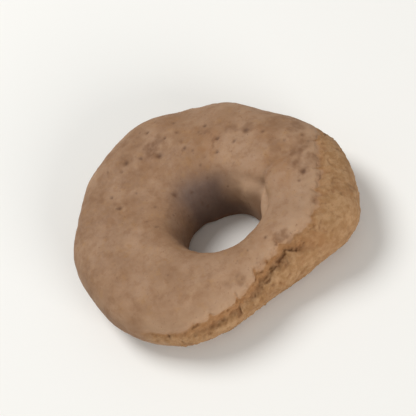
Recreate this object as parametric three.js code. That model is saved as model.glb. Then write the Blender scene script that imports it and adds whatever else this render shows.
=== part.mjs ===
// Tarallo: a small ring of hard-baked dough. Millimetres, +Z up.
//
// A short rope of dough is curled into a ring, and its ends are pressed together. Boiling
// sets a smooth skin on it. In the oven the ring swells, so the skin splits all along its
// outer side, and rough golden crumb pushes out below the lip of the split. The base lies
// flat where the ring sat on the oven floor. The origin is the middle of that flat base.

import * as THREE from 'three';

// Driving sizes of the ring
const OUTER_RADIUS = 20;
const HOLE_RADIUS = 6.2;
const HOLE_SHIFT = { x: 1.4, y: -3.4 };  // the hole sits off the centre, towards the front
const HALF_THICKNESS = 5.6;
const THICKNESS_SWING = 0.25;            // the ring is this much thicker at the back, thinner at the front
const SECTION_POWER = 2.3;               // 2 gives an ellipse, more gives fuller corners
const CORNER_FULLNESS = [0, 0.5, 1.6, 0.1]; // added at: outer top, inner top, inner low, outer low
const HOLE_TAPER = 1;                    // the hole narrows by this much towards the base, all round
const FAR_TAPER = { azimuth: 50, size: 1.6 }; // and by this much more at one side
const FOOT_DEPTH = 4.8;                  // the flat base lies this far below the rope's middle
const FOOT_BLEND = 0.35;                 // soft corner between the flat base and the round side

// The outline isn't a true circle: waves [per turn, cosine share, sine share] of its radius
const OUTLINE_WAVES = [
  [2, 0.062, -0.011],
  [3, 0.045, -0.051],
  [4, -0.011, -0.026],
  [5, -0.018, 0.005],
];

// Seam where the overlapping end of the rope is pressed on to the other end
const SEAM_AZIMUTH = 352;
const SEAM_SLANT = 14;       // degrees of azimuth the seam swings by from the hole to the rim
const SEAM_BEND = 8;         // and bends by on the top of the rope
const SEAM_DEPTH = 0.75;
const SEAM_WIDTH = 0.9;
const SEAM_STEP = 0.4;       // how far the overlapping end stands above the other one
const SEAM_FADE = 13;        // the step dies away over this length along the rope
const SEAM_START = 15;       // section angle where the seam starts, near the rim
const SEAM_FULL = 110;       // and where it has its full depth, on the way to the hole

// Fold along the edge of the hole, where the end of the rope is tucked in, with a round lobe below it
const TUCK = { azimuth: 335, halfSpan: 26, softness: 12, angle: 150 };
const TUCK_DEPTH = 0.6;
const TUCK_WIDTH = 1.0;
const LOBE_SIZE = 0.4;
const LOBE_DROP = 3;
const LOBE_SPREAD = 2.4;

// Split in the skin round the outer side, with a low step down from the torn edge to the crumb
const SPLIT_DEPTH = 0.35;
const SPLIT_WIDTH = 0.6;
const SPLIT_LIP = 0.12;      // the torn edge curls outwards by this much
const SPLIT_OVERHANG = 0.15; // and hangs over the step by this much
const CRUMB_BULGE = 0.45;    // the crumb below the split pushes out by this much
const CRUMB_CENTRE = -3.6;   // middle of the crumb band, measured down from the split
const CRUMB_SPREAD = 2.8;
const SPLIT_LOW_ANGLE = 5;   // height of the split on the section, in degrees above its middle
const SPLIT_MIDDLE = 325;    // azimuth where it has climbed furthest on to the face

// How it climbs and falls: [from, to] in degrees of azimuth from there, and the climb between them
const SPLIT_CLIMBS = [
  { from: -90, to: -63, climb: 20 },
  { from: -57, to: -33, climb: 36 },
  { from: 13, to: 67, climb: -56 },
];

// Groove where the crumb has parted, in front: it climbs to the torn edge and falls down the side
const GROOVE = { azimuth: 278, halfSpan: 33, softness: 10, lowAngle: -1, highAngle: 49 };
const GROOVE_CLIMB = { from: -13, to: 20 }; // degrees of azimuth from the groove's middle
const GROOVE_FALL = { from: 21, to: 39 };
const GROOVE_DEPTH = 0.6;
const GROOVE_WIDTH = 0.6;
const CLEFT_DEPTH = 0.35;                   // the wide hollow round the groove
const CLEFT_WIDTH = 1.5;
const NOTCH = { azimuth: 297, spread: 6.5, height: 1.3, depth: 0.45 };

// Blisters that rose under the skin: azimuth, section angle, radius, height
const BLISTERS = [
  { azimuth: 74, angle: 113, radius: 2.6, height: 0.3 },
  { azimuth: 164, angle: 92, radius: 2.0, height: 0.22 },
  { azimuth: 206, angle: 72, radius: 2.9, height: 0.25 },
  { azimuth: 30, angle: 74, radius: 2.4, height: 0.25 },
];

const LUMP_COUNT = 9;
const LUMP_SIZE = 0.2;
const JAG_COUNT = 5;
const JAG_SIZE = 1.3;        // degrees
const RANDOM_SEED = 41;

// Mesh: sections are crowded together in front, and rows round the split
const STEPS_AROUND = 116;
const STEP_CROWDING = { middle: 288, spread: 30, amount: 1 };
const ROWS_ACROSS = 50;
const ROW_CROWDING = { middle: -10, spread: 32, amount: 1.8 };

const DEGREE = Math.PI / 180;
const TURN = 2 * Math.PI;

// The same numbers on every run
function makeRandom(seed) {
  let state = seed;
  return () => {
    state = (Math.imul(state, 1664525) + 1013904223) >>> 0;
    return state / 4294967296;
  };
}

function bell(distance, spread) {
  return Math.exp(-((distance / spread) ** 2));
}

function smoothStep(low, high, value) {
  const t = Math.min(1, Math.max(0, (value - low) / (high - low)));
  return t * t * (3 - 2 * t);
}

// Difference of two angles in degrees, between -180 and 180
function angleBetween(angle, reference) {
  return ((((angle - reference + 180) % 360) + 360) % 360) - 180;
}

// 1 between two azimuths and 0 elsewhere, with soft ends
function arcMask(azimuth, centre, halfSpan, softness) {
  const away = Math.abs(angleBetween(azimuth, centre));
  return 1 - smoothStep(halfSpan - softness, halfSpan + softness, away);
}

const random = makeRandom(RANDOM_SEED);

const lumps = Array.from({ length: LUMP_COUNT }, (_, index) => ({
  around: 2 + index,
  across: Math.floor(random() * 4) - 1,
  phase: random() * TURN,
  size: LUMP_SIZE * (0.5 + random()) / Math.sqrt(1 + index * 0.35),
}));

const jags = Array.from({ length: JAG_COUNT }, (_, index) => ({
  around: 7 + index * 5 + Math.floor(random() * 3),
  phase: random() * TURN,
  size: JAG_SIZE * (0.6 + random() * 0.8) / (1 + index * 0.2),
}));

function outerRadius(azimuth) {
  const waves = OUTLINE_WAVES.map(([count, cosine, sine]) =>
    cosine * Math.cos(count * azimuth * DEGREE) + sine * Math.sin(count * azimuth * DEGREE));
  return OUTER_RADIUS * (1 + waves.reduce((sum, wave) => sum + wave, 0));
}

// Distance from the ring's centre to the edge of the round, off-centre hole
function innerRadius(azimuth) {
  const c = Math.cos(azimuth * DEGREE);
  const s = Math.sin(azimuth * DEGREE);
  const along = HOLE_SHIFT.x * c + HOLE_SHIFT.y * s;
  const aside = HOLE_SHIFT.x * s - HOLE_SHIFT.y * c;
  return along + Math.sqrt(HOLE_RADIUS ** 2 - aside ** 2);
}

// Power of the section's curve, which makes some of its four corners fuller than others
function sectionPower(angle) {
  const quadrant = Math.floor((((angle % 360) + 360) % 360) / 90);
  return SECTION_POWER + CORNER_FULLNESS[quadrant] * Math.sin(2 * angle * DEGREE) ** 2;
}

// The rope's section: 0 degrees points away from the hole, 90 up and 180 into the hole
function sectionRadius(azimuth, angle) {
  const halfWidth = (outerRadius(azimuth) - innerRadius(azimuth)) / 2;
  const halfHeight = HALF_THICKNESS + THICKNESS_SWING * Math.sin(azimuth * DEGREE);
  const power = sectionPower(angle);
  const across = Math.abs(Math.cos(angle * DEGREE)) / halfWidth;
  const up = Math.abs(Math.sin(angle * DEGREE)) / halfHeight;
  return 1 / (across ** power + up ** power) ** (1 / power);
}

// Long, low lumps, which die away towards the hole
function lumpRelief(azimuth, angle, reach) {
  const sum = lumps.reduce((total, lump) =>
    total + lump.size * Math.sin((lump.around * azimuth + lump.across * angle) * DEGREE + lump.phase), 0);
  return sum * Math.min(1, reach / OUTER_RADIUS) ** 2;
}

// Section angle of the split: low along the back and left, high on the right
function splitAngle(azimuth) {
  const away = angleBetween(azimuth, SPLIT_MIDDLE);
  const climb = SPLIT_CLIMBS.reduce((sum, part) =>
    sum + part.climb * smoothStep(part.from, part.to, away), 0);
  const jag = jags.reduce((sum, wave) =>
    sum + wave.size * Math.sin(wave.around * azimuth * DEGREE + wave.phase), 0);
  return SPLIT_LOW_ANGLE + climb + jag;
}

// How much crumb the split shows: most in front and on the right, a hairline on the left
function splitStrength(azimuth) {
  const front = arcMask(azimuth, 300, 70, 18);
  const back = 0.65 * arcMask(azimuth, 95, 48, 22);
  return Math.max(0.12, front, back);
}

function splitRelief(azimuth, drop) {
  const step = -SPLIT_DEPTH * bell(drop, SPLIT_WIDTH);
  const lip = SPLIT_LIP * bell(drop - 1.3, 0.8);
  const swell = 0.7 + 0.3 * Math.sin(13 * azimuth * DEGREE + 1) * Math.sin(7 * azimuth * DEGREE);
  const crumb = CRUMB_BULGE * swell * bell(drop - CRUMB_CENTRE, CRUMB_SPREAD);
  return splitStrength(azimuth) * (step + lip + crumb);
}

function grooveAngle(azimuth) {
  const away = angleBetween(azimuth, GROOVE.azimuth);
  const climb = smoothStep(GROOVE_CLIMB.from, GROOVE_CLIMB.to, away)
    * (1 - smoothStep(GROOVE_FALL.from, GROOVE_FALL.to, away));
  return GROOVE.lowAngle + (GROOVE.highAngle - GROOVE.lowAngle) * climb;
}

// The groove is wider and shallower where it is steep
function grooveRelief(azimuth, angle, reach, radius) {
  const slope = (grooveAngle(azimuth + 1) - grooveAngle(azimuth - 1)) / 2 * (radius / reach);
  const above = angleBetween(angle, grooveAngle(azimuth)) * DEGREE * radius / Math.hypot(1, slope);
  const steep = smoothStep(0.4, 1.2, Math.abs(slope));
  const cut = GROOVE_DEPTH * (1 - 0.5 * steep) * bell(above, GROOVE_WIDTH * (1 + 0.9 * steep));
  const cleft = CLEFT_DEPTH * bell(above - CLEFT_WIDTH / 2, CLEFT_WIDTH);
  const notch = NOTCH.depth * bell(angleBetween(azimuth, NOTCH.azimuth), NOTCH.spread)
    * bell(above, NOTCH.height);
  return -arcMask(azimuth, GROOVE.azimuth, GROOVE.halfSpan, GROOVE.softness) * (cut + cleft + notch);
}

// Distance along the rope from the seam, positive on the overlapping end
function seamDistance(azimuth, angle, reach) {
  const seam = SEAM_AZIMUTH + SEAM_SLANT * Math.cos(angle * DEGREE) ** 3
    + SEAM_BEND * Math.sin(angle * DEGREE);
  return angleBetween(azimuth, seam) * DEGREE * reach;
}

function seamRelief(azimuth, angle, reach) {
  const distance = seamDistance(azimuth, angle, reach);
  const shown = smoothStep(SEAM_START, SEAM_FULL, angle) * (1 - smoothStep(180, 215, angle));
  const crease = -SEAM_DEPTH * bell(distance, SEAM_WIDTH);
  const step = distance > 0 ? SEAM_STEP * smoothStep(0, 1.6, distance) * bell(distance, SEAM_FADE) : 0;
  return shown * (crease + step);
}

function tuckRelief(azimuth, angle, radius) {
  const along = arcMask(azimuth, TUCK.azimuth, TUCK.halfSpan, TUCK.softness);
  const inward = angleBetween(angle, TUCK.angle) * DEGREE * radius;
  const fold = -TUCK_DEPTH * bell(inward, TUCK_WIDTH);
  return along * (fold + LOBE_SIZE * bell(inward - LOBE_DROP, LOBE_SPREAD));
}

function blisterRelief(azimuth, angle, reach, radius) {
  return BLISTERS.reduce((sum, blister) => {
    const along = angleBetween(azimuth, blister.azimuth) * DEGREE * reach;
    const across = angleBetween(angle, blister.angle) * DEGREE * radius;
    const share = Math.min(1, Math.hypot(along, across) / blister.radius);
    return sum + blister.height * (1 - share ** 2) ** 2;
  }, 0);
}

// Flattens what lies below the base, with a soft corner
function settle(height) {
  const above = height + FOOT_DEPTH;
  if (above <= -FOOT_BLEND) {
    return 0;
  }
  if (above >= FOOT_BLEND) {
    return above;
  }
  return (above + FOOT_BLEND) ** 2 / (4 * FOOT_BLEND);
}

// How far the low inner edge of the hole reaches inwards, 0 on the rest of the section
function holeTaper(azimuth, angle) {
  const share = smoothStep(180, 230, angle) * (1 - smoothStep(245, 290, angle));
  const far = (1 + Math.cos((azimuth - FAR_TAPER.azimuth) * DEGREE)) / 2;
  return share * (HOLE_TAPER + FAR_TAPER.size * far);
}

// A point of the surface, with its height above the flat base
function surfacePoint(azimuth, angle) {
  const middle = (outerRadius(azimuth) + innerRadius(azimuth)) / 2;
  const radius = sectionRadius(azimuth, angle);
  const reach = middle + radius * Math.cos(angle * DEGREE);
  const drop = angleBetween(angle, splitAngle(azimuth)) * DEGREE * radius;
  const relief = lumpRelief(azimuth, angle, reach) + splitRelief(azimuth, drop)
    + grooveRelief(azimuth, angle, reach, radius)
    + seamRelief(azimuth, (angle + 90) % 360 - 90, reach) + tuckRelief(azimuth, angle, radius)
    + blisterRelief(azimuth, angle, reach, radius);
  const overhang = SPLIT_OVERHANG * splitStrength(azimuth) * bell(drop - 0.8, 0.7) / radius;
  const turned = angle * DEGREE - overhang;
  const distance = middle + (radius + relief) * Math.cos(turned) - holeTaper(azimuth, angle);
  return new THREE.Vector3(
    distance * Math.cos(azimuth * DEGREE),
    distance * Math.sin(azimuth * DEGREE),
    settle((radius + relief) * Math.sin(turned)),
  );
}

// Angles from -180 to 180, crowded together round one of them
function crowdedAngles(count, crowding) {
  const samples = 3600;
  const running = [0];
  for (let index = 0; index < samples; index += 1) {
    const away = angleBetween((index / samples) * 360 - 180, crowding.middle);
    running.push(running[index] + 1 + crowding.amount * bell(away, crowding.spread));
  }
  const total = running[samples];
  const angles = [];
  let index = 0;
  for (let number = 0; number < count; number += 1) {
    while (running[index + 1] <= (number / count) * total) {
      index += 1;
    }
    const within = ((number / count) * total - running[index]) / (running[index + 1] - running[index]);
    angles.push(((index + within) / samples) * 360 - 180);
  }
  return angles;
}

// The rows follow the split on the outer side and run level in the hole
function gridVertices() {
  const rows = crowdedAngles(ROWS_ACROSS, ROW_CROWDING);
  const points = [];
  crowdedAngles(STEPS_AROUND, STEP_CROWDING).forEach((azimuth) => {
    const split = splitAngle(azimuth);
    rows.forEach((row) => {
      const angle = row + split * (1 + Math.cos(row * DEGREE)) / 2;
      points.push(surfacePoint(azimuth, (angle + 720) % 360));
    });
  });
  return points;
}

// Two triangles for each four-sided cell, split along its first diagonal unless that is much longer
function gridTriangles(points) {
  const indices = [];
  for (let step = 0; step < STEPS_AROUND; step += 1) {
    const nextStep = (step + 1) % STEPS_AROUND;
    for (let row = 0; row < ROWS_ACROSS; row += 1) {
      const nextRow = (row + 1) % ROWS_ACROSS;
      const a = step * ROWS_ACROSS + row;
      const b = nextStep * ROWS_ACROSS + row;
      const c = nextStep * ROWS_ACROSS + nextRow;
      const d = step * ROWS_ACROSS + nextRow;
      if (points[a].distanceTo(points[c]) < 1.1 * points[b].distanceTo(points[d])) {
        indices.push(a, b, c, a, c, d);
      } else {
        indices.push(a, b, d, b, c, d);
      }
    }
  }
  return indices;
}

// Moves the ring so that the origin is the middle of its extent, on the flat base
function centre(points) {
  const extent = new THREE.Box3().setFromPoints(points);
  const middle = extent.getCenter(new THREE.Vector3());
  points.forEach((point) => point.sub(new THREE.Vector3(middle.x, middle.y, extent.min.z)));
}

function makeRingGeometry() {
  const points = gridVertices();
  centre(points);
  const geometry = new THREE.BufferGeometry().setFromPoints(points);
  geometry.setIndex(gridTriangles(points));
  geometry.computeVertexNormals();
  return geometry;
}

const bakedDough = new THREE.MeshStandardMaterial({
  name: 'baked_dough',
  color: '#9e7c60',
  roughness: 0.75,
  metalness: 0,
});

function makeTarallo() {
  const ring = new THREE.Mesh(makeRingGeometry(), bakedDough);
  ring.name = 'tarallo_ring';
  const group = new THREE.Group();
  group.add(ring);
  return group;
}

export default makeTarallo();
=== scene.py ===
"""Looks of a tarallo, a small hard-baked ring of dough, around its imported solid.

The ring's form is worked out from the same named sizes as the solid, in millimetres, on a
finer grid, with torn crumb, blisters and pits as real relief. It ends up in metres.
"""

import math

import bpy
import numpy as np
from mathutils import Matrix, Vector, noise

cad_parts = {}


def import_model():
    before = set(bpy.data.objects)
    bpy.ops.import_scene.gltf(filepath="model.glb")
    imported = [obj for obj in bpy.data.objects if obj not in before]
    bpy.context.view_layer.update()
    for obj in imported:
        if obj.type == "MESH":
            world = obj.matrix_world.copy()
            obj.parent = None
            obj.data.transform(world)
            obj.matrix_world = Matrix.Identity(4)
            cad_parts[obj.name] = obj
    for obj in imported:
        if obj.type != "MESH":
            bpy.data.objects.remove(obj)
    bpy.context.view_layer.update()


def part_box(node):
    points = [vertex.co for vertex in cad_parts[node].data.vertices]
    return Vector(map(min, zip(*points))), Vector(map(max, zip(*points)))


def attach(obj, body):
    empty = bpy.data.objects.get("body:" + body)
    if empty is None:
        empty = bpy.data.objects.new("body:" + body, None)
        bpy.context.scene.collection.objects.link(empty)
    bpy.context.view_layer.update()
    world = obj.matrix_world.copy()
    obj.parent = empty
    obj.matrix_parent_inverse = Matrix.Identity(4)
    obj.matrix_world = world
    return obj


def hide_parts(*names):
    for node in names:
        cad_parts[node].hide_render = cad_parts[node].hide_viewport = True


NODE = "tarallo_ring"
BODY = "root"
METRES_PER_MM = 0.001

# Driving sizes of the ring, the same as in the solid
OUTER_RADIUS = 20.0
HOLE_RADIUS = 6.2
HOLE_SHIFT = (1.4, -3.4)
HALF_THICKNESS = 5.6
THICKNESS_SWING = 0.25
SECTION_POWER = 2.3
CORNER_FULLNESS = (0.0, 0.5, 1.6, 0.1)
HOLE_TAPER = 1.0                      # the low edge of the hole reaches this far inwards all round
FAR_TAPER_SIZE = 1.6                  # and up to this much further on its far side
FAR_TAPER_AZIMUTH = 50.0
TAPER_RISE = (180, 230)               # section angles where the taper sets in
TAPER_END = (245, 290)                # and where it dies away
FOOT_DEPTH = 4.8
FOOT_BLEND = 0.35
OUTLINE_WAVES = (                     # waves per turn, cosine share and sine share
    (2, 0.062, -0.011), (3, 0.045, -0.051), (4, -0.011, -0.026), (5, -0.018, 0.005),
)

# Seam where the overlapping end of the rope is pressed on to the other end
SEAM_AZIMUTH = 352.0
SEAM_SLANT = 14.0
SEAM_BEND = 8.0
SEAM_DEPTH = 0.75
SEAM_WIDTH = 0.9
SEAM_STEP = 0.4
SEAM_FADE = 13.0
SEAM_RISE = 1.6
SEAM_START = 15.0
SEAM_FULL = 110.0
SEAM_END = (180, 215)

# Fold along the edge of the hole, where the end of the rope is tucked in, with a lobe below it
TUCK_AZIMUTH = 335.0
TUCK_HALF_SPAN = 26.0
TUCK_SOFTNESS = 12.0
TUCK_ANGLE = 150.0
TUCK_DEPTH = 0.6
TUCK_WIDTH = 1.0
LOBE_SIZE = 0.4
LOBE_DROP = 3.0
LOBE_SPREAD = 2.4

# Split in the skin round the outer side, with a low step down from the torn edge to the crumb
SPLIT_DEPTH = 0.35
SPLIT_WIDTH = 0.6
SPLIT_LIP = 0.12
LIP_HEIGHT = 1.3
LIP_SPREAD = 0.8
SPLIT_OVERHANG = 0.15
OVERHANG_HEIGHT = 0.8
OVERHANG_SPREAD = 0.7
CRUMB_BULGE = 0.45
CRUMB_CENTRE = -3.6
CRUMB_SPREAD = 2.8
CRUMB_SWELL = 0.3                     # share of the bulge that swells and sinks
CRUMB_SWELLS = (13, 7)                # in two waves, so many per turn
SPLIT_LOW_ANGLE = 5.0
SPLIT_MIDDLE = 325.0
SPLIT_CLIMBS = ((-90, -63, 20), (-57, -33, 36), (13, 67, -56))    # from, to and climb

# How much crumb the split shows: azimuth, half span and softness of its two wide stretches
SPLIT_FRONT = (300, 70, 18)
SPLIT_BACK = (95, 48, 22)
SPLIT_BACK_STRENGTH = 0.65
SPLIT_HAIRLINE = 0.12

# Groove where the crumb has parted, in front: it climbs to the torn edge and falls down the side
GROOVE_AZIMUTH = 278.0
GROOVE_HALF_SPAN = 33.0
GROOVE_SOFTNESS = 10.0
GROOVE_LOW_ANGLE = -1.0
GROOVE_HIGH_ANGLE = 49.0
GROOVE_CLIMB = (-13, 20)
GROOVE_FALL = (21, 39)
GROOVE_DEPTH = 0.6
GROOVE_WIDTH = 0.6
GROOVE_STEEP = (0.4, 1.2)             # slopes over which it turns steep
STEEP_FILLING = 0.5                   # and then loses this share of its depth
STEEP_WIDENING = 0.9                  # and gains this share of its width
CLEFT_DEPTH = 0.35
CLEFT_WIDTH = 1.5
NOTCH_AZIMUTH = 297.0
NOTCH_SPREAD = 6.5
NOTCH_HEIGHT = 1.3
NOTCH_DEPTH = 0.45

# Large blisters that the solid has too: azimuth, section angle, radius, height
BLISTERS = ((74, 113, 2.6, 0.3), (164, 92, 2.0, 0.22), (206, 72, 2.9, 0.25), (30, 74, 2.4, 0.25))

LUMP_COUNT = 9
LUMP_SIZE = 0.2
JAG_COUNT = 5
JAG_SIZE = 1.3
RANDOM_SEED = 41

# Grid of the solid, which sets where its middle lies, and the fine grid of the looks
SOLID_STEPS = 116
SOLID_ROWS = 50
FINE_STEPS = 540
FINE_ROWS = 180
STEP_CROWDING = (288.0, 30.0, 1.0)    # middle, spread and amount
ROW_CROWDING = (-10.0, 32.0, 1.8)

# Noise in layers, each with its height, the size of its lumps in millimetres, its seed and octaves
TORN_WAVERS = ((0.50, 2.2, 3, 3), (0.20, 0.5, 4, 2))
BAND_WAVERS = ((1.1, 2.0, 5, 3),)
STRETCHED_WAVERS = ((0.8, 1.7, 10, 3),)
DOUGH_WAVES = ((0.10, 5.5, 11, 2), (0.07, 1.9, 12, 2))
SKIN_GRAIN = ((0.018, 0.6, 13, 2),)
CRUMB_LUMPS = ((0.15, 1.9, 23, 3),)
CRUMB_STREAKS = ((0.10, 1.0, 24, 2),)
SECOND_CRACK_WAVERS = ((0.8, 3.1, 8, 1),)
MARK_WARP = ((0.30, 0.8, 40, 2),)     # as a share of the distance to a mark's middle
PATCH_WARP = ((0.55, 1.3, 31, 3),)    # as a share of a patch's radius

# Patches where noise is high: their size in millimetres, seed and octaves, and the range of the
# noise over which they set in
CRACK_BREAKS = (2.1, 6, 2, -0.30, 0.25)
SECOND_CRACK_BREAKS = (1.8, 9, 2, 0.05, 0.4)
CRUMB_GAPS = (0.9, 25, 2, 0.28, 0.6)
RING_BREAKS = (1.1, 41, 2, -0.35, 0.3)
BAKE_MOTTLE = (0.6, 33, 2, -0.3, 0.3)
TOAST_PATCHES = (3.2, 32, 3, -0.45, 0.4)

# Torn crumb
STREAK_WIDTH = 0.55
STREAK_LENGTH = 1.7
GRAIN_HEIGHT = 0.10
GRAIN_SIZE = 0.75
GRAIN_SEED = 22
GRAIN_STEEPNESS = 2.2
GAP_DEPTH = 0.22
SHADED_CAVITY_DEPTHS = (-0.02, 0.22)         # depths in the crumb's relief over which painted shade darkens it
CRUMB_ROUGHNESS = 0.62                # share of the crumb's relief all round
ROUGHEST_CRUMB = (260, 42, 22)        # azimuth, half span and softness of where it has all of it
ROUGHNESS_ABOVE_SPLIT = 0.25          # share of the crumb's relief on the skin close above it
TORN_STRENGTHS = (0.15, 0.5)          # strengths of the split over which its edge turns torn
STRETCHED_FADE = (0.2, 4.5)           # heights above the split over which the pale skin ends
FOOT_FADE = (0.05, 1.1)               # heights over which the browned foot ends

# Cracks in the crumb, drawn as lines of painted shade over a shallow cut: one in the groove, and
# pieces of a second one below it
GROOVE_FOLLOWS = 0.7                  # share of the torn edge's wavers that the groove follows
CRACK_DEPTH = 0.06
CRACK_DROP = 0.1
CRACK_WIDTH = 0.30
CRACK_WIDENING = 0.24
CRACK_FAINTEST = 0.35
SECOND_CRACK_DROP = 1.6
SECOND_CRACK_WIDTH = 0.22
SECOND_CRACK_STRENGTH = 0.7

# Toasted torn edge, partly painted shade just below it, and how far it reaches between the split and
# the groove where they run close
EDGE_DROP = 0.2
EDGE_WIDTH = 0.6
EDGE_STRENGTH = 0.55
EDGE_TOP = (-0.4, 0.3)
EDGE_BOTTOM = (-0.3, 0.5)

# Short rips that run from the split up into the skin
RIP_COUNT = 64
RIP_SEED = 5
RIP_LOWEST = 0.2
RIP_RANGE = 0.9
RIP_NARROWEST = 0.2
RIP_WIDTH_RANGE = 0.25

# Crumb band below the split: its width, how much wider it gets for each degree the split climbs,
# and the stretches over which it sets in at the split and its low edge fades into the skin
BAND_WIDTH = 4.6
BAND_GROWTH = 0.13
BAND_TOP = (-0.3, 0.12)
BAND_FADE = (-1.6, 0.6)

# Marks scattered over the skin: count, seed, smallest and largest radius
SMALL_PITS = (110, 7, 0.10, 0.30)
SMALL_BLISTERS = (80, 19, 0.4, 1.6)
SCATTER_ANGLES = (-50, 250)           # lowest section angle and the range above it
SMALL_BLISTER_HEIGHT = 0.08           # as a share of the radius

# Shapes of pits, as shares of their radius: depth, width of the hollow and of its stain; and how
# strong the stain is
DARK_SPECK_SHAPE = (0.55, 0.75, 0.9, 1.0)
SMALL_PIT_SHAPE = (0.5, 0.8, 1.0, 0.7)

# Larger pits with a dark bottom: azimuth, section angle, radius
DARK_SPECKS = (
    (106, 106, 0.50), (117, 88, 0.32), (125, 72, 0.46), (138, 151, 0.46), (50, 104, 0.34),
    (45, 124, 0.30), (32, 86, 0.50), (34, 108, 0.26), (163, 92, 0.40), (344, 85, 0.42),
    (101, 58, 0.34), (82, 114, 0.30), (94, 84, 0.26), (152, 74, 0.26), (64, 78, 0.30),
)
# Browned patches: azimuth, section angle, radius, strength
BROWN_PATCHES = (
    (107, 88, 2.0, 1.0), (98, 84, 1.3, 0.8), (124, 66, 1.8, 0.7), (115, 42, 2.4, 0.6),
    (85, 100, 1.6, 0.4), (150, 40, 2.4, 0.35), (168, 76, 3.2, 0.4), (44, 86, 1.7, 0.8),
    (358, 76, 1.6, 0.9), (350, 90, 1.2, 0.9), (344, 84, 1.1, 0.7), (6, 92, 1.4, 0.6),
    (33, 81, 1.3, 0.7), (265, 59, 1.2, 0.6), (272, 54, 1.2, 0.6), (302, 75, 1.4, 0.8),
    (302, 58, 1.1, 0.7), (327, 70, 1.1, 0.8), (20, 62, 2.6, 0.4), (285, 62, 1.2, 0.4),
    (2, 57, 2.0, 0.8), (351, 62, 1.6, 0.7), (13, 48, 2.0, 0.7), (340, 62, 1.2, 0.5),
    (108, 62, 2.4, 0.5), (136, 96, 3.4, 0.45),
)
# Patches baked to a warmer, more orange tan
WARM_PATCHES = (
    (60, 105, 2.6, 1.0), (75, 92, 2.4, 0.8), (46, 118, 1.8, 0.7), (90, 60, 2.6, 0.4),
    (355, 108, 2.4, 0.8), (340, 118, 2.0, 0.6), (18, 84, 2.4, 0.7), (298, 95, 2.2, 0.5),
    (120, 112, 2.2, 0.5),
)
# Blisters with a thin, broken ring round them: azimuth, section angle, radius, height, strength
RINGED_BLISTERS = (
    (68, 112, 2.6, 0.16, 1.0), (119, 120, 1.3, 0.10, 0.3), (163, 92, 1.2, 0.05, 0.6),
    (172, 66, 1.6, 0.05, 0.3),
)
RING_WIDTH = 0.25
RING_DEPTH = 0.06

PATCH_FADE = (0.25, 1.15)             # shares of a patch's radius over which it fades
FAINTEST_MOTTLE = 0.65
TOAST_AZIMUTH = 150.0
TOAST_STRENGTH = 0.45

# Painted shade on the hole's wall, a dull dark tone: section angles where it sets in and ends, and
# azimuth, half span and softness of its far side, where it is darkest; the rest of it is fainter
WALL_TOP = (132, 165)
WALL_BOTTOM = (230, 275)
FAR_WALL_SHADE = (72, 75, 30)
FAINTEST_WALL_SHADE = 0.3
# Painted light, a pale patch on the lobe high on it: azimuth, half span and softness, and section
# angles over which it ends
LOBE_PAINTED_LIGHT = (347, 34, 24)
LOBE_PAINTED_LIGHT_BOTTOM = (176, 206)

# Colours as the screen shows them, 0 to 255.
# A noise's grain is its size in millimetres, detail, roughness and shift.
SKIN_BASE_GRAIN = (6.0, 4.0, 0.55, 3.0)
SKIN_BASE_RANGE = (0.38, 0.62)
SKIN_DARK = (149, 115, 86)
SKIN_LIGHT = (160, 127, 99)
CRUMB_BASE_GRAIN = (1.2, 5.0, 0.65, 31.0)
CRUMB_BASE_RANGE = (0.36, 0.64)
CRUMB_DARK = (146, 109, 71)
CRUMB_LIGHT = (167, 131, 94)

# Mottles: grain, range of the noise over which they set in, strength and tone
SKIN_MOTTLES = (
    ((1.5, 5.0, 0.65, 8.0), 0.46, 0.66, 0.5, (135, 98, 68)),
    ((2.2, 4.0, 0.6, 15.0), 0.52, 0.70, 0.45, (170, 137, 106)),
    ((1.6, 6.0, 0.7, 18.0), 0.52, 0.70, 0.40, (164, 124, 80)),
)
SKIN_DOTS = ((0.40, 3.0, 0.6, 21.0), 0.62, 0.74, 0.5, (116, 82, 60))
CRUMB_MOTTLE = ((2.6, 4.0, 0.6, 37.0), 0.50, 0.70, 0.55, (142, 101, 64))

# Stains, and painted shade and light: mask, strength and tone
SKIN_STAINS = (
    ("stretched", 0.7, (170, 138, 109)),
    ("warm", 0.75, (146, 106, 72)),
    ("brown", 0.9, (116, 81, 54)),
    ("ring", 0.6, (118, 80, 52)),
)
# painted shade in the hollows of the crumb's relief
CRUMB_PAINTED_SHADE = ("cavity_shade", 0.5, (124, 86, 54))
DOUGH_STAINS_SHADE_AND_LIGHT = (
    # toasted colour, and painted shade just below the torn edge and down to the groove
    ("edge", 0.55, (146, 100, 60)),
    # painted shade: a dull dark tone on the hole's wall, strongest on its far side
    ("inside_painted_shade", 0.85, (96, 78, 71)),
    # painted light: a pale patch on the lobe high on the hole's right wall
    ("lobe_painted_light", 0.6, (198, 164, 134)),
    ("foot", 0.6, (132, 94, 64)),
    # painted shade along the cracks in the crumb
    ("crack_with_shade", 0.5, (120, 80, 48)),
    ("speck", 0.8, (88, 58, 40)),
)

# How matt the surface is, from 0 to 1, and how far light gets into it, in millimetres and by colour
MATT_GRAIN = (1.2, 2.0, 0.55, 41.0)
MATT_RANGE = (0.3, 0.7)
SKIN_MATTNESS = (0.62, 0.78)
CRUMB_MATTNESS = 0.86
SHEEN = 0.3
LIGHT_INSIDE = 0.05
LIGHT_REACH = 0.6
LIGHT_REACH_BY_COLOUR = (1.0, 0.6, 0.35)

# Bumps too fine for the grid: grain, strength and depth in millimetres
SKIN_BUMPS = (((0.9, 5.0, 0.65, 51.0), 0.6, 0.14), ((0.25, 3.0, 0.6, 57.0), 0.6, 0.06))
CRUMB_BUMPS = ((0.4, 4.0, 0.7, 63.0), 0.8, 0.18)

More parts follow.
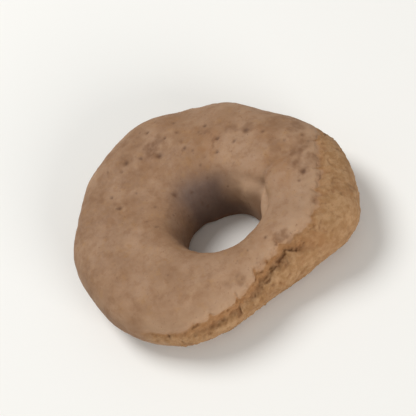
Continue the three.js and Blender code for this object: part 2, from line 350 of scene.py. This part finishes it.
# Stage, in metres: a pale floor and sky, a large soft light overhead, behind on the left, and a
# low one from the front right, each with its place, size and power
FLOOR_REACH = 3.0
FLOOR_TONE = (238, 237, 233)
FLOOR_ROUGHNESS = 0.9
SKY_COLOUR = (1.0, 0.99, 0.97, 1)
SKY_STRENGTH = 0.36
LIGHTS = (
    ("key", (-0.15, 0.24, 0.42), 0.26, 1.75),
    ("fill", (0.16, -0.50, 0.17), 0.30, 2.0),
)
LIT_POINT = (0, 0, 0.005)

# Camera: the photograph looks down on the ring's face, with the ring's right side turned up
VIEW_ELEVATION = 51.0
VIEW_ROLL = 25.1
VIEW_DISTANCE = 0.240
RING_SHARE = 0.70                     # share of the picture's width that the ring takes
SENSOR_WIDTH = 36.0


def make_random(seed):
    """The same numbers on every run."""
    state = seed

    def draw():
        nonlocal state
        state = (state * 1664525 + 1013904223) % 4294967296
        return state / 4294967296

    return draw


def bell(distance, spread):
    return np.exp(-((distance / spread) ** 2))


def smooth_step(low, high, value):
    t = np.clip((value - low) / (high - low), 0, 1)
    return t * t * (3 - 2 * t)


def angle_between(angle, reference):
    return (angle - reference + 180) % 360 - 180


def arc_mask(azimuth, centre, half_span, softness):
    away = np.abs(angle_between(azimuth, centre))
    return 1 - smooth_step(half_span - softness, half_span + softness, away)


def facing(angle, reference):
    """1 at the reference angle, falling to 0 opposite it."""
    return (1 + np.cos(np.radians(angle - reference))) / 2


def lifted(share, lowest):
    """A share from 0 to 1, brought up so that it starts at the lowest value."""
    return lowest + (1 - lowest) * share


random_of_solid = make_random(RANDOM_SEED)


def draw_lump(index):
    across = math.floor(random_of_solid() * 4) - 1
    phase = random_of_solid() * math.tau
    size = LUMP_SIZE * (0.5 + random_of_solid()) / math.sqrt(1 + index * 0.35)
    return 2 + index, across, phase, size


def draw_jag(index):
    around = 7 + index * 5 + math.floor(random_of_solid() * 3)
    phase = random_of_solid() * math.tau
    size = JAG_SIZE * (0.6 + random_of_solid() * 0.8) / (1 + index * 0.2)
    return around, phase, size


LUMPS = [draw_lump(index) for index in range(LUMP_COUNT)]
JAGS = [draw_jag(index) for index in range(JAG_COUNT)]


def outer_radius(azimuth):
    u = np.radians(azimuth)
    return OUTER_RADIUS * (1 + sum(c * np.cos(n * u) + s * np.sin(n * u) for n, c, s in OUTLINE_WAVES))


def inner_radius(azimuth):
    u = np.radians(azimuth)
    along = HOLE_SHIFT[0] * np.cos(u) + HOLE_SHIFT[1] * np.sin(u)
    aside = HOLE_SHIFT[0] * np.sin(u) - HOLE_SHIFT[1] * np.cos(u)
    return along + np.sqrt(HOLE_RADIUS ** 2 - aside ** 2)


def section_power(angle):
    fullness = np.array(CORNER_FULLNESS)[np.floor((angle % 360) / 90).astype(int)]
    return SECTION_POWER + fullness * np.sin(2 * np.radians(angle)) ** 2


def section_radius(azimuth, angle):
    half_width = (outer_radius(azimuth) - inner_radius(azimuth)) / 2
    half_height = HALF_THICKNESS + THICKNESS_SWING * np.sin(np.radians(azimuth))
    power = section_power(angle)
    across = np.abs(np.cos(np.radians(angle))) / half_width
    up = np.abs(np.sin(np.radians(angle))) / half_height
    return 1 / (across ** power + up ** power) ** (1 / power)


def lump_relief(azimuth, angle, reach):
    total = sum(
        size * np.sin(np.radians(around * azimuth + across * angle) + phase)
        for around, across, phase, size in LUMPS
    )
    return total * np.minimum(1, reach / OUTER_RADIUS) ** 2


def split_climb(azimuth):
    """How many degrees the split has climbed from the side on to the face."""
    away = angle_between(azimuth, SPLIT_MIDDLE)
    return sum(climb * smooth_step(start, end, away) for start, end, climb in SPLIT_CLIMBS)


def split_angle(azimuth):
    jag = sum(size * np.sin(around * np.radians(azimuth) + phase) for around, phase, size in JAGS)
    return SPLIT_LOW_ANGLE + split_climb(azimuth) + jag


def split_strength(azimuth):
    front = arc_mask(azimuth, *SPLIT_FRONT)
    back = SPLIT_BACK_STRENGTH * arc_mask(azimuth, *SPLIT_BACK)
    return np.maximum(SPLIT_HAIRLINE, np.maximum(front, back))


def split_relief(azimuth, drop):
    u = np.radians(azimuth)
    step = -SPLIT_DEPTH * bell(drop, SPLIT_WIDTH)
    lip = SPLIT_LIP * bell(drop - LIP_HEIGHT, LIP_SPREAD)
    first, second = CRUMB_SWELLS
    swell = 1 - CRUMB_SWELL + CRUMB_SWELL * np.sin(first * u + 1) * np.sin(second * u)
    crumb = CRUMB_BULGE * swell * bell(drop - CRUMB_CENTRE, CRUMB_SPREAD)
    return split_strength(azimuth) * (step + lip + crumb)


def groove_angle(azimuth):
    away = angle_between(azimuth, GROOVE_AZIMUTH)
    climb = smooth_step(*GROOVE_CLIMB, away) * (1 - smooth_step(*GROOVE_FALL, away))
    return GROOVE_LOW_ANGLE + (GROOVE_HIGH_ANGLE - GROOVE_LOW_ANGLE) * climb


def groove_shown(azimuth):
    return arc_mask(azimuth, GROOVE_AZIMUTH, GROOVE_HALF_SPAN, GROOVE_SOFTNESS)


def groove_slope(azimuth, reach, radius):
    return (groove_angle(azimuth + 1) - groove_angle(azimuth - 1)) / 2 * (radius / reach)


def groove_relief(azimuth, above, slope):
    """The groove is wider and shallower where it is steep; above is the distance square to it."""
    steep = smooth_step(*GROOVE_STEEP, np.abs(slope))
    width = GROOVE_WIDTH * (1 + STEEP_WIDENING * steep)
    cut = GROOVE_DEPTH * (1 - STEEP_FILLING * steep) * bell(above, width)
    cleft = CLEFT_DEPTH * bell(above - CLEFT_WIDTH / 2, CLEFT_WIDTH)
    notch = NOTCH_DEPTH * bell(angle_between(azimuth, NOTCH_AZIMUTH), NOTCH_SPREAD)
    return -groove_shown(azimuth) * (cut + cleft + notch * bell(above, NOTCH_HEIGHT))


def seam_distance(azimuth, angle, reach):
    v = np.radians(angle)
    seam = SEAM_AZIMUTH + SEAM_SLANT * np.cos(v) ** 3 + SEAM_BEND * np.sin(v)
    return np.radians(angle_between(azimuth, seam)) * reach


def seam_shown(angle):
    signed = (angle + 90) % 360 - 90
    return smooth_step(SEAM_START, SEAM_FULL, signed) * (1 - smooth_step(*SEAM_END, signed))


def seam_relief(azimuth, angle, reach):
    distance = seam_distance(azimuth, angle, reach)
    crease = -SEAM_DEPTH * bell(distance, SEAM_WIDTH)
    step = SEAM_STEP * smooth_step(0, SEAM_RISE, distance) * bell(distance, SEAM_FADE)
    return seam_shown(angle) * (crease + step)


def tuck_relief(azimuth, angle, radius):
    along = arc_mask(azimuth, TUCK_AZIMUTH, TUCK_HALF_SPAN, TUCK_SOFTNESS)
    inward = np.radians(angle_between(angle, TUCK_ANGLE)) * radius
    fold = -TUCK_DEPTH * bell(inward, TUCK_WIDTH)
    return along * (fold + LOBE_SIZE * bell(inward - LOBE_DROP, LOBE_SPREAD))


def blister_relief(azimuth, angle, reach, radius):
    total = 0
    for centre, height_angle, size, height in BLISTERS:
        along = np.radians(angle_between(azimuth, centre)) * reach
        across = np.radians(angle_between(angle, height_angle)) * radius
        share = np.minimum(1, np.hypot(along, across) / size)
        total = total + height * (1 - share ** 2) ** 2
    return total


def settle(height):
    """Flattens what lies below the base, with a soft corner."""
    above = height + FOOT_DEPTH
    corner = (above + FOOT_BLEND) ** 2 / (4 * FOOT_BLEND)
    return np.where(above <= -FOOT_BLEND, 0, np.where(above >= FOOT_BLEND, above, corner))


def hole_taper(azimuth, angle):
    """How far the low inner edge of the hole reaches inwards, 0 on the rest of the section."""
    share = smooth_step(*TAPER_RISE, angle) * (1 - smooth_step(*TAPER_END, angle))
    return share * (HOLE_TAPER + FAR_TAPER_SIZE * facing(azimuth, FAR_TAPER_AZIMUTH))


def form(azimuth, angle, ragged=0.0):
    """Points of the ring's main form, before it is centred, and how far they lie above the split
    and the groove. Ragged says how many millimetres lower the split runs, and the groove follows it.
    """
    middle = (outer_radius(azimuth) + inner_radius(azimuth)) / 2
    radius = section_radius(azimuth, angle)
    reach = middle + radius * np.cos(np.radians(angle))
    drop = np.radians(angle_between(angle, split_angle(azimuth))) * radius + ragged
    slope = groove_slope(azimuth, reach, radius)
    above = np.radians(angle_between(angle, groove_angle(azimuth))) * radius / np.hypot(1, slope)
    above = above + GROOVE_FOLLOWS * ragged
    relief = lump_relief(azimuth, angle, reach) + split_relief(azimuth, drop)
    relief = relief + groove_relief(azimuth, above, slope) + seam_relief(azimuth, angle, reach)
    relief = relief + tuck_relief(azimuth, angle, radius)
    relief = relief + blister_relief(azimuth, angle, reach, radius)
    overhang = SPLIT_OVERHANG * split_strength(azimuth) * bell(drop - OVERHANG_HEIGHT, OVERHANG_SPREAD)
    turned = np.radians(angle) - overhang / radius
    distance = middle + (radius + relief) * np.cos(turned) - hole_taper(azimuth, angle)
    u = np.radians(azimuth)
    height = settle((radius + relief) * np.sin(turned))
    points = np.stack([distance * np.cos(u), distance * np.sin(u), height], axis=-1)
    return points, drop, above


def crowded_angles(count, crowding):
    """Angles from -180 to 180, crowded together round one of them."""
    middle, spread, amount = crowding
    samples = 3600
    away = angle_between(np.arange(samples) / samples * 360 - 180, middle)
    running = np.concatenate([[0], np.cumsum(1 + amount * bell(away, spread))])
    wanted = np.arange(count) / count * running[-1]
    return np.interp(wanted, running, np.arange(samples + 1) / samples * 360 - 180)


def make_grid(steps, rows):
    """Azimuths and section angles. The rows follow the split outside and run level in the hole."""
    azimuth = np.repeat(crowded_angles(steps, STEP_CROWDING)[:, None], rows, axis=1)
    row = crowded_angles(rows, ROW_CROWDING)[None, :]
    angle = row + split_angle(azimuth) * facing(row, 0)
    return azimuth, (angle + 720) % 360


def middle_of_solid():
    """What the solid's points are moved by, so that its origin is the middle of its base."""
    points = form(*make_grid(SOLID_STEPS, SOLID_ROWS))[0]
    low = points.min(axis=(0, 1))
    high = points.max(axis=(0, 1))
    return np.array([(low[0] + high[0]) / 2, (low[1] + high[1]) / 2, low[2]])


def grid_normals(points):
    along = np.roll(points, -1, axis=0) - np.roll(points, 1, axis=0)
    across = np.roll(points, -1, axis=1) - np.roll(points, 1, axis=1)
    normal = np.cross(along, across)
    return normal / np.maximum(np.linalg.norm(normal, axis=-1, keepdims=True), 1e-9)


def cloud(points, size, seed, octaves):
    """Smooth noise, about -1 to 1, with lumps of the given size in millimetres."""
    shift = Vector((seed * 17.31, seed * 5.77, seed * 11.13))
    flat = points.reshape(-1, 3) / size
    values = [noise.fractal(Vector(p) + shift, 1.0, 2.0, octaves) for p in flat.tolist()]
    return np.array(values).reshape(points.shape[:-1])


def layered_noise(points, layers):
    return sum(height * cloud(points, size, seed, octaves) for height, size, seed, octaves in layers)


def noise_patches(points, size, seed, octaves, low, high):
    """1 where smooth noise is high, 0 where it is low."""
    return smooth_step(low, high, cloud(points, size, seed, octaves))


def grains(points, size, seed):
    """Rounded grains of the given size: 1 on a grain's top, 0 in the gaps."""
    shift = Vector((seed * 9.41, seed * 3.17, seed * 7.73))
    flat = points.reshape(-1, 3) / size
    values = []
    for p in flat.tolist():
        distances = noise.voronoi(Vector(p) + shift)[0]
        values.append(distances[1] - distances[0])
    return np.clip(np.array(values) * GRAIN_STEEPNESS, 0, 1).reshape(points.shape[:-1])


def place(azimuth, angle, middle):
    """The point of the main form at one azimuth and section angle."""
    point = form(np.array([float(azimuth)]), np.array([float(angle) % 360]))[0]
    return point[0] - middle


def distance_to(points, centre):
    return np.linalg.norm(points - centre, axis=-1)


def scatter_marks(count, seed, size_low, size_high):
    """Random marks over the skin: azimuth, section angle and radius."""
    draw = make_random(seed)
    marks = []
    for _ in range(count):
        azimuth = draw() * 360
        angle = SCATTER_ANGLES[0] + draw() * SCATTER_ANGLES[1]
        size = size_low + (size_high - size_low) * draw() ** 2
        marks.append((azimuth, angle, size))
    return marks


def torn_share(azimuth):
    return smooth_step(*TORN_STRENGTHS, split_strength(azimuth))


def torn_edge(points, azimuth):
    """How far the torn edge strays from its smooth line: wavers and short rips upwards."""
    reach = np.hypot(points[..., 0], points[..., 1])
    draw = make_random(RIP_SEED)
    rips = np.zeros(azimuth.shape)
    for index in range(RIP_COUNT):
        centre = (index + draw()) * 360 / RIP_COUNT
        height = RIP_LOWEST + RIP_RANGE * draw() ** 2
        width = RIP_NARROWEST + RIP_WIDTH_RANGE * draw()
        along = np.radians(angle_between(azimuth, centre)) * reach
        rips = np.maximum(rips, height * bell(along, width))
    return torn_share(azimuth) * (layered_noise(points, TORN_WAVERS) - rips)


def crumb_mask(points, azimuth, drop):
    """The torn band below the split, which fades out at its low edge."""
    width = split_strength(azimuth) * (BAND_WIDTH + BAND_GROWTH * split_climb(azimuth))
    fading = drop + layered_noise(points, BAND_WAVERS)
    low_edge = smooth_step(-width + BAND_FADE[0], -width + BAND_FADE[1], fading)
    return (1 - smooth_step(*BAND_TOP, drop)) * low_edge * torn_share(azimuth)


def crack_mask(points, azimuth, above):
    """A broken crack along the groove, and pieces of a second one below it, drawn as lines of painted
    shade over a shallow cut.
    """
    parted = groove_shown(azimuth)
    broken = noise_patches(points, *CRACK_BREAKS)
    crack_with_shade = bell(above + CRACK_DROP, CRACK_WIDTH + CRACK_WIDENING * broken)
    crack_with_shade = crack_with_shade * parted * lifted(broken, CRACK_FAINTEST)
    wavers = layered_noise(points, SECOND_CRACK_WAVERS)
    second = bell(above + SECOND_CRACK_DROP + wavers, SECOND_CRACK_WIDTH)
    pieces = noise_patches(points, *SECOND_CRACK_BREAKS)
    return np.maximum(crack_with_shade, SECOND_CRACK_STRENGTH * second * parted * pieces)


def edge_toast_and_shade_mask(azimuth, drop, above):
    """The toasted torn edge, partly painted shade just below it, which widens where the groove runs
    close below it.
    """
    between = groove_shown(azimuth) * (1 - smooth_step(*EDGE_TOP, drop))
    between = between * smooth_step(*EDGE_BOTTOM, above)
    rim = EDGE_STRENGTH * bell(drop + EDGE_DROP, EDGE_WIDTH) * torn_share(azimuth)
    return np.maximum(rim, between)


def stretched_mask(points, azimuth, drop):
    """Thin, pale skin just above the split, and all that lies below it."""
    fading = drop + layered_noise(points, STRETCHED_WAVERS)
    return (1 - smooth_step(*STRETCHED_FADE, fading)) * torn_share(azimuth)


def crumb_relief(points, azimuth, drop):
    """Torn crumb: soft lumps, streaks that the tearing drew out downwards, grains and gaps."""
    reach = np.hypot(points[..., 0], points[..., 1])
    along = np.radians(azimuth) * reach
    drawn_out = np.stack([along / STREAK_WIDTH, drop / STREAK_LENGTH, drop * 0], axis=-1)
    lumps = layered_noise(points, CRUMB_LUMPS)
    streaks = layered_noise(drawn_out, CRUMB_STREAKS)
    grain = GRAIN_HEIGHT * (grains(points, GRAIN_SIZE, GRAIN_SEED) - 0.5)
    gaps = -GAP_DEPTH * noise_patches(points, *CRUMB_GAPS)
    rough = lifted(arc_mask(azimuth, *ROUGHEST_CRUMB), CRUMB_ROUGHNESS)
    return rough * (lumps + streaks + grain + gaps)


def low_dome(away, size):
    return (1 - np.minimum(1, away / size) ** 2) ** 2


def pit(away, size, depth, width, stain_width, tint):
    """Depth and stain of a pit of the given radius."""
    return depth * size * bell(away, size * width), tint * bell(away, size * stain_width)


def mark_relief(points, middle, skin):
    """Specks, pits and blisters of the skin: their relief, and masks of specks and thin rings."""
    warp = 1 + layered_noise(points, MARK_WARP)
    patchy = noise_patches(points, *RING_BREAKS)
    relief = np.zeros(skin.shape)
    speck = np.zeros(skin.shape)
    ring = np.zeros(skin.shape)

    def distance_from(azimuth, angle):
        return distance_to(points, place(azimuth, angle, middle)) * warp

    for azimuth, angle, size in DARK_SPECKS:
        depth, tint = pit(distance_from(azimuth, angle), size, *DARK_SPECK_SHAPE)
        relief = relief - depth
        speck = np.maximum(speck, tint)
    for azimuth, angle, size in scatter_marks(*SMALL_PITS):
        depth, tint = pit(distance_from(azimuth, angle), size, *SMALL_PIT_SHAPE)
        relief = relief - depth * skin
        speck = np.maximum(speck, tint * skin)
    for azimuth, angle, size in scatter_marks(*SMALL_BLISTERS):
        dome = low_dome(distance_from(azimuth, angle), size)
        relief = relief + skin * SMALL_BLISTER_HEIGHT * size * dome
    for azimuth, angle, size, height, strength in RINGED_BLISTERS:
        away = distance_from(azimuth, angle)
        edge = strength * patchy * bell(away - size, RING_WIDTH)
        relief = relief + height * low_dome(away, size) - RING_DEPTH * edge
        ring = np.maximum(ring, edge)
    return relief, speck, ring


def patch_mask(points, middle, patches, mottle):
    """Patches with ragged, mottled edges."""
    patched = np.zeros(mottle.shape)
    ragged = layered_noise(points, PATCH_WARP)
    for azimuth, angle, size, amount in patches:
        away = distance_to(points, place(azimuth, angle, middle)) / size + ragged
        patched = np.maximum(patched, amount * mottle * (1 - smooth_step(*PATCH_FADE, away)))
    return patched


def bake_masks(points, azimuth, middle):
    """Browned patches with a toasted tinge on the far left, and warm patches."""
    mottle = lifted(noise_patches(points, *BAKE_MOTTLE), FAINTEST_MOTTLE)
    toast = TOAST_STRENGTH * facing(azimuth, TOAST_AZIMUTH) * mottle
    toast = toast * noise_patches(points, *TOAST_PATCHES)
    brown = np.maximum(patch_mask(points, middle, BROWN_PATCHES, mottle), toast)
    return brown, patch_mask(points, middle, WARM_PATCHES, mottle)


def hole_painted_shade_and_light(azimuth, angle):
    """Painted shade on the hole's wall, most of all its far side, and painted light on the lobe high
    on its right.
    """
    wall = smooth_step(*WALL_TOP, angle) * (1 - smooth_step(*WALL_BOTTOM, angle))
    far_shade = lifted(arc_mask(azimuth, *FAR_WALL_SHADE), FAINTEST_WALL_SHADE)
    lobe_painted_light = arc_mask(azimuth, *LOBE_PAINTED_LIGHT) * (1 - smooth_step(*LOBE_PAINTED_LIGHT_BOTTOM, angle))
    return wall * far_shade * (1 - lobe_painted_light), wall * lobe_painted_light


def add_fine_relief(points, azimuth, angle, drop, above, middle):
    """Moves the points along their normals and returns the masks that colour the surface."""
    crumb = crumb_mask(points, azimuth, drop)
    crack_with_shade = crack_mask(points, azimuth, above)
    stretched = stretched_mask(points, azimuth, drop)
    foot = 1 - smooth_step(*FOOT_FADE, points[..., 2])
    skin = (1 - crumb) * (1 - foot)

    rough = crumb_relief(points, azimuth, drop)
    torn = crumb + ROUGHNESS_ABOVE_SPLIT * stretched * (1 - crumb)
    relief = layered_noise(points, DOUGH_WAVES) + torn * rough - CRACK_DEPTH * crack_with_shade
    relief = relief * (1 - foot) + skin * layered_noise(points, SKIN_GRAIN)
    marks, speck, ring = mark_relief(points, middle, skin)
    brown, warm = bake_masks(points, azimuth, middle)
    # painted shade on the hole's wall, and painted light on the lobe high on its right
    inside_painted_shade, lobe_painted_light = hole_painted_shade_and_light(azimuth, angle)

    moved = points + grid_normals(points) * (relief + marks)[..., None]
    moved[..., 2] = np.maximum(moved[..., 2], 0)
    masks = {
        "crumb": crumb,
        "crack_with_shade": crack_with_shade,
        "edge": edge_toast_and_shade_mask(azimuth, drop, above),
        "stretched": stretched,
        "speck": speck,
        "ring": ring,
        "brown": brown,
        "warm": warm,
        "foot": foot,
        # painted shade in the crumb's hollows
        "cavity_shade": crumb * smooth_step(*SHADED_CAVITY_DEPTHS, -rough),
        "inside_painted_shade": inside_painted_shade,
        "lobe_painted_light": lobe_painted_light,
    }
    return moved, masks


def make_ring():
    azimuth, angle = make_grid(FINE_STEPS, FINE_ROWS)
    middle = middle_of_solid()
    smooth = form(azimuth, angle)[0]
    points, drop, above = form(azimuth, angle, torn_edge(smooth - middle, azimuth))
    points, masks = add_fine_relief(points - middle, azimuth, angle, drop, above, middle)
    steps, rows = drop.shape
    index = np.arange(steps * rows).reshape(steps, rows)
    next_step = np.roll(index, -1, axis=0)
    faces = np.stack(
        [index, next_step, np.roll(next_step, -1, axis=1), np.roll(index, -1, axis=1)], axis=-1
    )
    mesh = bpy.data.meshes.new("tarallo")
    vertices = (points.reshape(-1, 3) * METRES_PER_MM).tolist()
    mesh.from_pydata(vertices, [], faces.reshape(-1, 4).tolist())
    for name, values in masks.items():
        layer = mesh.attributes.new(name, "FLOAT", "POINT")
        layer.data.foreach_set("value", np.clip(values, 0, 1).astype(np.float32).ravel())
    mesh.polygons.foreach_set("use_smooth", [True] * len(mesh.polygons))
    mesh.update()
    ring = bpy.data.objects.new("baked_ring", mesh)
    bpy.context.scene.collection.objects.link(ring)
    return ring


class Shader:
    """Short calls for building one node material."""

    def __init__(self, name):
        self.material = bpy.data.materials.new(name)
        self.material.use_nodes = True
        self.tree = self.material.node_tree
        self.surface = self.tree.nodes["Principled BSDF"]

    def node(self, kind, **settings):
        made = self.tree.nodes.new(kind)
        for key, value in settings.items():
            setattr(made, key, value)
        return made

    def plug(self, value, socket):
        if isinstance(value, bpy.types.NodeSocket):
            self.tree.links.new(value, socket)
        else:
            socket.default_value = value

    def mask(self, name):
        return self.node("ShaderNodeAttribute", attribute_name=name).outputs["Fac"]

    def noise(self, size, detail, roughness, shift):
        """Noise from 0 to 1 with lumps of the given size in millimetres."""
        where = self.node("ShaderNodeTexCoord").outputs["Object"]
        moved = self.node("ShaderNodeMapping")
        self.plug(where, moved.inputs["Vector"])
        moved.inputs["Location"].default_value = (shift, shift * 0.7, shift * 1.3)
        texture = self.node("ShaderNodeTexNoise")
        self.plug(moved.outputs["Vector"], texture.inputs["Vector"])
        texture.inputs["Scale"].default_value = 1 / (size * METRES_PER_MM)
        texture.inputs["Detail"].default_value = detail
        texture.inputs["Roughness"].default_value = roughness
        return texture.outputs["Fac"]

    def ramp(self, value, low, high, to_low=0.0, to_high=1.0):
        made = self.node("ShaderNodeMapRange", interpolation_type="SMOOTHSTEP")
        self.plug(value, made.inputs["Value"])
        made.inputs["From Min"].default_value = low
        made.inputs["From Max"].default_value = high
        made.inputs["To Min"].default_value = to_low
        made.inputs["To Max"].default_value = to_high
        return made.outputs["Result"]

    def math(self, operation, first, second):
        made = self.node("ShaderNodeMath", operation=operation)
        self.plug(first, made.inputs[0])
        self.plug(second, made.inputs[1])
        return made.outputs[0]

    def mix(self, share, first, second):
        made = self.node("ShaderNodeMix", data_type="RGBA")
        self.plug(share, made.inputs["Factor"])
        colours = [socket for socket in made.inputs if socket.type == "RGBA"]
        self.plug(first, colours[0])
        self.plug(second, colours[1])
        return [socket for socket in made.outputs if socket.type == "RGBA"][0]

    def tint(self, colour, mask, strength, tone):
        """Mixes a screen colour over another colour where a mask of the mesh is 1."""
        return self.mix(self.math("MULTIPLY", self.mask(mask), strength), colour, linear(*tone))

    def mottle(self, colour, grain, low, high, strength, tone):
        """Mixes a screen colour over another colour in the high spots of a noise."""
        return self.mix(self.ramp(self.noise(*grain), low, high, 0.0, strength), colour, linear(*tone))

    def bump(self, height, strength, distance_mm, below):
        made = self.node("ShaderNodeBump")
        self.plug(height, made.inputs["Height"])
        self.plug(strength, made.inputs["Strength"])
        made.inputs["Distance"].default_value = distance_mm * METRES_PER_MM
        if below is not None:
            self.plug(below, made.inputs["Normal"])
        return made.outputs["Normal"]


def linear(red, green, blue):
    """A screen colour, 0 to 255, as the linear colour that shaders take."""
    def channel(value):
        share = value / 255
        return share / 12.92 if share <= 0.04045 else ((share + 0.055) / 1.055) ** 2.4
    return channel(red), channel(green), channel(blue), 1.0


def skin_colour(shader):
    """Tan skin, mottled, and browned in patches."""
    tan = shader.ramp(shader.noise(*SKIN_BASE_GRAIN), *SKIN_BASE_RANGE)
    colour = shader.mix(tan, linear(*SKIN_DARK), linear(*SKIN_LIGHT))
    for mottling in SKIN_MOTTLES:
        colour = shader.mottle(colour, *mottling)
    for tint in SKIN_STAINS:
        colour = shader.tint(colour, *tint)
    return shader.mottle(colour, *SKIN_DOTS)


def crumb_colour(shader):
    """Golden torn crumb, with painted shade in its gaps and hollows."""
    golden = shader.ramp(shader.noise(*CRUMB_BASE_GRAIN), *CRUMB_BASE_RANGE)
    colour = shader.mix(golden, linear(*CRUMB_DARK), linear(*CRUMB_LIGHT))
    colour = shader.mottle(colour, *CRUMB_MOTTLE)
    return shader.tint(colour, *CRUMB_PAINTED_SHADE)


def make_dough_material():
    shader = Shader("baked_dough_looks")
    colour = shader.mix(shader.mask("crumb"), skin_colour(shader), crumb_colour(shader))
    for tint in DOUGH_STAINS_SHADE_AND_LIGHT:
        colour = shader.tint(colour, *tint)
    shader.plug(colour, shader.surface.inputs["Base Color"])

    roughness = shader.ramp(shader.noise(*MATT_GRAIN), *MATT_RANGE, *SKIN_MATTNESS)
    matt_crumb = shader.math("MULTIPLY", shader.mask("crumb"), CRUMB_MATTNESS)
    roughness = shader.math("MAXIMUM", roughness, matt_crumb)
    shader.plug(roughness, shader.surface.inputs["Roughness"])
    shader.surface.inputs["Specular IOR Level"].default_value = SHEEN
    shader.surface.inputs["Subsurface Weight"].default_value = LIGHT_INSIDE
    shader.surface.inputs["Subsurface Radius"].default_value = LIGHT_REACH_BY_COLOUR
    shader.surface.inputs["Subsurface Scale"].default_value = LIGHT_REACH * METRES_PER_MM

    bumps = None
    for grain, strength, depth in SKIN_BUMPS:
        bumps = shader.bump(shader.noise(*grain), strength, depth, bumps)
    grain, strength, depth = CRUMB_BUMPS
    gritty = shader.math("MULTIPLY", shader.mask("crumb"), strength)
    bumps = shader.bump(shader.noise(*grain), gritty, depth, bumps)
    shader.plug(bumps, shader.surface.inputs["Normal"])
    return shader.material


def make_floor():
    reach = FLOOR_REACH
    mesh = bpy.data.meshes.new("floor")
    corners = [(-reach, -reach, 0), (reach, -reach, 0), (reach, reach, 0), (-reach, reach, 0)]
    mesh.from_pydata(corners, [], [(0, 1, 2, 3)])
    floor = bpy.data.objects.new("floor", mesh)
    bpy.context.scene.collection.objects.link(floor)
    shader = Shader("pale_floor")
    shader.surface.inputs["Base Color"].default_value = linear(*FLOOR_TONE)
    shader.surface.inputs["Roughness"].default_value = FLOOR_ROUGHNESS
    mesh.materials.append(shader.material)


def aim(thing, target):
    direction = Vector(target) - thing.location
    thing.rotation_euler = direction.to_track_quat("-Z", "Y").to_euler()


def add_light(name, place_at, size, power):
    lamp = bpy.data.lights.new(name, "AREA")
    lamp.shape = "DISK"
    lamp.size = size
    lamp.energy = power
    thing = bpy.data.objects.new(name, lamp)
    bpy.context.scene.collection.objects.link(thing)
    thing.location = place_at
    aim(thing, LIT_POINT)


def light_scene():
    world = bpy.data.worlds.new("studio")
    world.use_nodes = True
    background = world.node_tree.nodes["Background"]
    background.inputs["Color"].default_value = SKY_COLOUR
    background.inputs["Strength"].default_value = SKY_STRENGTH
    bpy.context.scene.world = world
    for light in LIGHTS:
        add_light(*light)


def make_camera(low, high):
    centre = (Vector(low) + Vector(high)) / 2
    elevation = math.radians(VIEW_ELEVATION)
    towards_camera = Vector((0, -math.cos(elevation), math.sin(elevation)))
    lens = bpy.data.cameras.new("camera")
    lens.sensor_width = SENSOR_WIDTH
    ring_width = high[0] - low[0]
    lens.lens = SENSOR_WIDTH * RING_SHARE * VIEW_DISTANCE / ring_width
    lens.clip_start = 0.01
    camera = bpy.data.objects.new("camera", lens)
    bpy.context.scene.collection.objects.link(camera)
    level = (-towards_camera).to_track_quat("-Z", "Y").to_matrix().to_4x4()
    roll = Matrix.Rotation(math.radians(-VIEW_ROLL), 4, "Z")
    camera.matrix_world = Matrix.Translation(centre + VIEW_DISTANCE * towards_camera) @ level @ roll
    bpy.context.scene.camera = camera


def main():
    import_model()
    low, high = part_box(NODE)
    make_camera(low, high)
    make_floor()
    light_scene()
    bpy.context.scene.view_settings.view_transform = "Standard"

    ring = make_ring()
    ring.data.materials.append(make_dough_material())
    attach(ring, BODY)
    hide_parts(NODE)


main()
